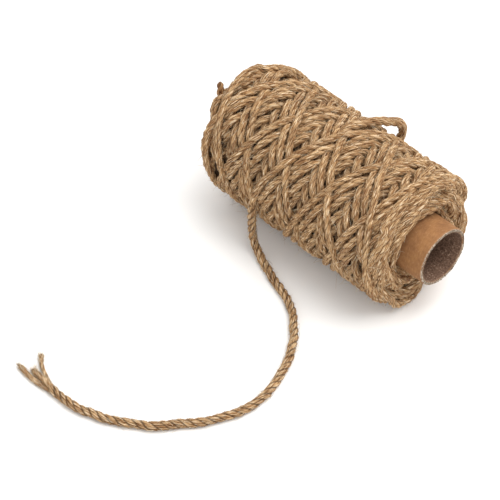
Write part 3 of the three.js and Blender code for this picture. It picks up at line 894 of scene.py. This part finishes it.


# The twine's inner end: where winding began, it was left sticking out past the far face. It is
# drawn thin, its tip is rounded, and it is drawn browner and darker than the rest.
inner_end = (
    (38, -54.5, 28.5), (36, -58.4, 29.2), (33.4, -60.9, 31.2),
    (30.2, -61.9, 33.9), (27.7, -62.1, 36.6), (25.4, -62.3, 39.6),
)
inner_end_swell = 0.87
inner_end_step = 0.5
inner_end_lean = np.array([0.6, 0.0, 0.0])
inner_end_twist = 1.0
inner_end_round = 1.5
inner_tip_share = 0.03
inner_places, inner_line = evenly(smooth_line(rows_on_roll(inner_end)), inner_end_step)
inner_tubes = strand_tubes(inner_line, radial(inner_line) + inner_end_lean, inner_places, inner_end_twist,
                           twine_rng, swell=inner_end_swell)
from_tip = np.clip((inner_places[-1] - inner_places) / inner_end_round, inner_tip_share, 1)[:, None, None]
rounded_off = np.sqrt(1 - (1 - from_tip) ** 2)
for tube in inner_tubes:
    tube["rings"] = inner_line[:, None] + (tube["rings"] - inner_line[:, None]) * rounded_off
inner_end_piece = twine_piece("inner_end", inner_tubes, jute)
# The inner end is marked to be drawn browner and darker.
oiled = inner_end_piece.data.attributes.new("oiled", "FLOAT", "POINT")
oiled.data.foreach_set("value", np.ones(len(inner_end_piece.data.vertices), dtype=np.float32))


# The loose end: the outer end of the twine, as pulled off the roll. It hangs down the near side,
# lies on the surface in one wide curve, and ends where its plies have come unlaid.
loose_end_route = np.array([
    [-23.3, -36.35, 29.4], [-22.9, -36.4, 25], [-23.1, -36.4, 19.9], [-23, -36.45, 14.6],
    [-22.3, -36.5, 9.8], [-20.4, -37, 6.2], [-17.6, -38, 3.9], [-14.4, -39.1, 2.6],
    [-11.1, -40.2, 2.05], [-6.7, -42, 1.95], [1.8, -45.2, 1.95], [10.3, -47.9, 1.95],
    [18.6, -52, 1.95], [25.9, -58, 1.95], [32.4, -64.8, 1.95], [37.8, -72.4, 1.95],
    [41.8, -80.3, 1.95], [44.7, -88.3, 1.95], [46.6, -96.5, 1.95], [47, -104.4, 1.95],
    [45.8, -111.4, 1.95], [43.3, -118.1, 1.95], [40.3, -124.4, 1.95], [36.8, -130.2, 1.95],
    [32.3, -135.3, 1.95], [28.1, -140.8, 1.95], [24, -146, 1.95], [18.2, -149.6, 1.95],
    [12.6, -153.7, 1.95], [6.5, -157, 1.95], [-0.4, -159.5, 1.95], [-7.2, -161.7, 1.95],
    [-15.2, -162.3, 1.95], [-23.3, -162.2, 1.95],
])
loose_end_plies = (
    ([-23.8, -162.2, 3.1], [-28, -161.8, 3], [-31.6, -161.3, 2.1],
     [-35, -160.9, 1.3], [-37.8, -159.7, 0.9]),
    ([-23.8, -163.2, 1.4], [-28.5, -163.7, 1.1], [-33.5, -164, 0.9],
     [-39, -163.6, 0.9], [-44.2, -162.5, 0.9]),
    ([-23.8, -161.2, 1.4], [-27.5, -160, 1.1], [-32.5, -157.8, 0.9],
     [-37, -155.6, 0.9], [-42.3, -151.6, 1.2]),
)


def carried(line, first):
    """A side direction carried along a line without twisting."""
    tangents = unit(np.gradient(line, axis=0))
    normals = [first]
    for tangent in tangents[1:]:
        normal = normals[-1] - tangent * np.dot(normals[-1], tangent)
        normals.append(normal / np.linalg.norm(normal))
    return np.array(normals)


loose_places, loose_line = evenly(smooth_line(loose_end_route), twine_step)
loose_normals = carried(loose_line, radial(loose_line[:1])[0])
loose_length = loose_places[-1]
# The lay is eased a little along the loose end so that one ply ends on top.
end_side = np.cross(unit(loose_line[-1] - loose_line[-2]), loose_normals[-1])
top_angle = math.atan2(end_side[2], loose_normals[-1][2])
end_angle = last_lay_angle + TAU * loose_length / twine_lay
top_angle += TAU / 3 * round((end_angle - top_angle) / (TAU / 3))
eased = (top_angle - end_angle) / TAU * twine_lay
# It swells where nothing presses it, and the painted shade in the grooves between its plies
# spreads wider.
loose_swell = 1.1
loose_groove_shade_power = 2.2
loose_tubes = strand_tubes(loose_line, loose_normals, loose_places * (1 + eased / loose_length),
                           last_lay_angle, twine_rng, swell=loose_swell)
for tube in loose_tubes:
    tube["facing"] = tube["facing"] ** loose_groove_shade_power
loose_piece = twine_piece("loose_twine", loose_tubes, jute)
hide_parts("loose_end")

# Each unlaid ply by its radius at the twine and at its tip; the fibres wind round it as spun.
ply_radii = ((1.3, 1.45), (1.1, 1.2), (0.9, 0.9))
spun_slope = 0.35
unlaid_sides = 10
even_ring = np.arange(unlaid_sides) * TAU / unlaid_sides
unlaid_step = 0.6
unlaid_bumps = ((0.10, 2.5), (0.06, 1.2))
unlaid_rounding = (0.95, 0.8, 0.5)
unlaid_rest = 0.95
unlaid_facing = 0.8
ply_tubes = []
ply_ends = [tube["rings"][-3:].mean(axis=1) for tube in loose_tubes]
for ply, (route, radii) in enumerate(zip(loose_end_plies, ply_radii)):
    near = [np.linalg.norm(end[-1] - np.array(route[0])) for end in ply_ends]
    end = ply_ends[int(np.argmin(near))]
    middle = np.concatenate([end[-1:], np.array(route[1:])])
    ply_places, ply_line = evenly(smooth_line(middle), unlaid_step)
    thin = np.interp(ply_places, [0, ply_places[-1]], radii) * uneven(ply_places, unlaid_bumps, twine_rng)
    thin[-len(unlaid_rounding):] *= unlaid_rounding
    ply_line[:, 2] = np.maximum(ply_line[:, 2], thin * unlaid_rest)
    tube = ring_tube(ply_line, carried(ply_line, np.array([0, 0, 1.0])), thin, ply_places, twine_rng, 0.0,
                     even_ring, spun_slope)
    tube["facing"] = np.full_like(tube["facing"], unlaid_facing)
    ply_tubes.append(tube)
    piece = twine_piece(f"unlaid_ply_{ply + 1}", [tube], jute)
    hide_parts(f"ply_{ply + 1}")

# Stray fibres on the loose end, and the frayed fibres that splay from the tips of its plies.
loose_strays = 1200
loose_stray_lengths = (1.2, 0.7, math.inf)
loose_stray_lifts = (0.2, 1.0)
loose_stray_swing = 0.25
loose_roots = fibre_roots(loose_tubes + ply_tubes, loose_strays, fibre_rng)
loose_sizes = fibre_sizes(loose_strays, loose_stray_lengths, loose_stray_lifts, fibre_rng)
fibre_piece("loose_stray_fibres", loose_roots, *loose_sizes,
                              loose_stray_swing, fibre_rng)
# The frayed fibres start on a ply's last rings, run along it and lift away from its middle.
frayed_each = 60
frayed_rings = 6
frayed_lengths = (0.8, 2.6)
frayed_lift = 0.35
frayed_swing = 0.3
frayed_thick = 1.5
tip_points, tip_ways, tip_out = [], [], []
for tube in ply_tubes:
    on_ring = fibre_rng.integers(-frayed_rings, 0, frayed_each)
    tip_points.append(tube["rings"][on_ring, fibre_rng.integers(0, unlaid_sides, frayed_each)])
    centres = tube["rings"][-frayed_rings:].mean(axis=1)
    tip_ways.append(np.tile(unit(centres[-1:] - centres[:1]), (frayed_each, 1)))
    tip_out.append(unit(tip_points[-1] - tube["rings"][-3:].mean(axis=(0, 1))))
tip_points, tip_ways, tip_out = (np.concatenate(values) for values in (tip_points, tip_ways, tip_out))
tip_out = unit(tip_out - tip_ways * np.sum(tip_out * tip_ways, axis=1, keepdims=True))
tip_lengths = fibre_rng.uniform(*frayed_lengths, len(tip_points))
tip_lifts = fibre_rng.exponential(frayed_lift, len(tip_points))
fibre_piece("frayed_tips", [tip_points, tip_ways, tip_out], tip_lengths, tip_lifts,
                              frayed_swing, fibre_rng, frayed_thick)


# The surface and the light: a pale table under large soft lamps, as in a product picture. The
# table's top lies just under the part, and its sizes and the lamps' places are in metres.
floor_size = 3.0
floor_drop = 0.0002
floor_corners = [(x * floor_size, y * floor_size, -floor_drop)
                 for x, y in ((-1, -1), (1, -1), (1, 1), (-1, 1))]
floor_mesh = bpy.data.meshes.new("surface")
floor_mesh.from_pydata(floor_corners, [], [(0, 1, 2, 3)])
floor = bpy.data.objects.new("surface", floor_mesh)
bpy.context.scene.collection.objects.link(floor)
paint, paint_tree = new_material("surface_pale_matt_paint")
speckle = add_node(paint_tree, "TexNoise", {"Scale": 60.0, "Detail": 2.0})
tone = add_node(paint_tree, "ValToRGB", {"stops": [
    (0.3, "#f3f2f0"), (0.7, "#f7f6f4")]}, {"Fac": speckle})
flat_roughness = add_node(paint_tree, "MapRange", {"To Min": 0.8, "To Max": 0.9}, {"Value": speckle})
finish_material(paint_tree, tone, flat_roughness, speckle, 0.00002, {})
floor_mesh.materials.append(paint)

sky_strength = 0.85
world = bpy.data.worlds.new("studio")
world.use_nodes = True
sky = world.node_tree.nodes["Background"].inputs
sky["Color"].default_value = (1.0, 1.0, 1.0, 1.0)
sky["Strength"].default_value = sky_strength
bpy.context.scene.world = world


def soft_lamp(name, place, size, power):
    """A square lamp that looks at the roll."""
    data = bpy.data.lights.new(name, "AREA")
    data.size = size
    data.energy = power
    lamp = bpy.data.objects.new(name, data)
    lamp.location = place
    away = np.array(place) - camera_target
    flat = math.hypot(away[0], away[1])
    lamp.rotation_euler = (math.atan2(flat, away[2]), 0.0, math.atan2(away[0], -away[1]))
    bpy.context.scene.collection.objects.link(lamp)


soft_lamp("key_lamp", (0.35, 0.4, 1.35), 1.3, 20.0)
soft_lamp("fill_lamp", (0.9, -0.9, 1.0), 0.9, 3.0)
bpy.context.scene.view_settings.view_transform = "Standard"
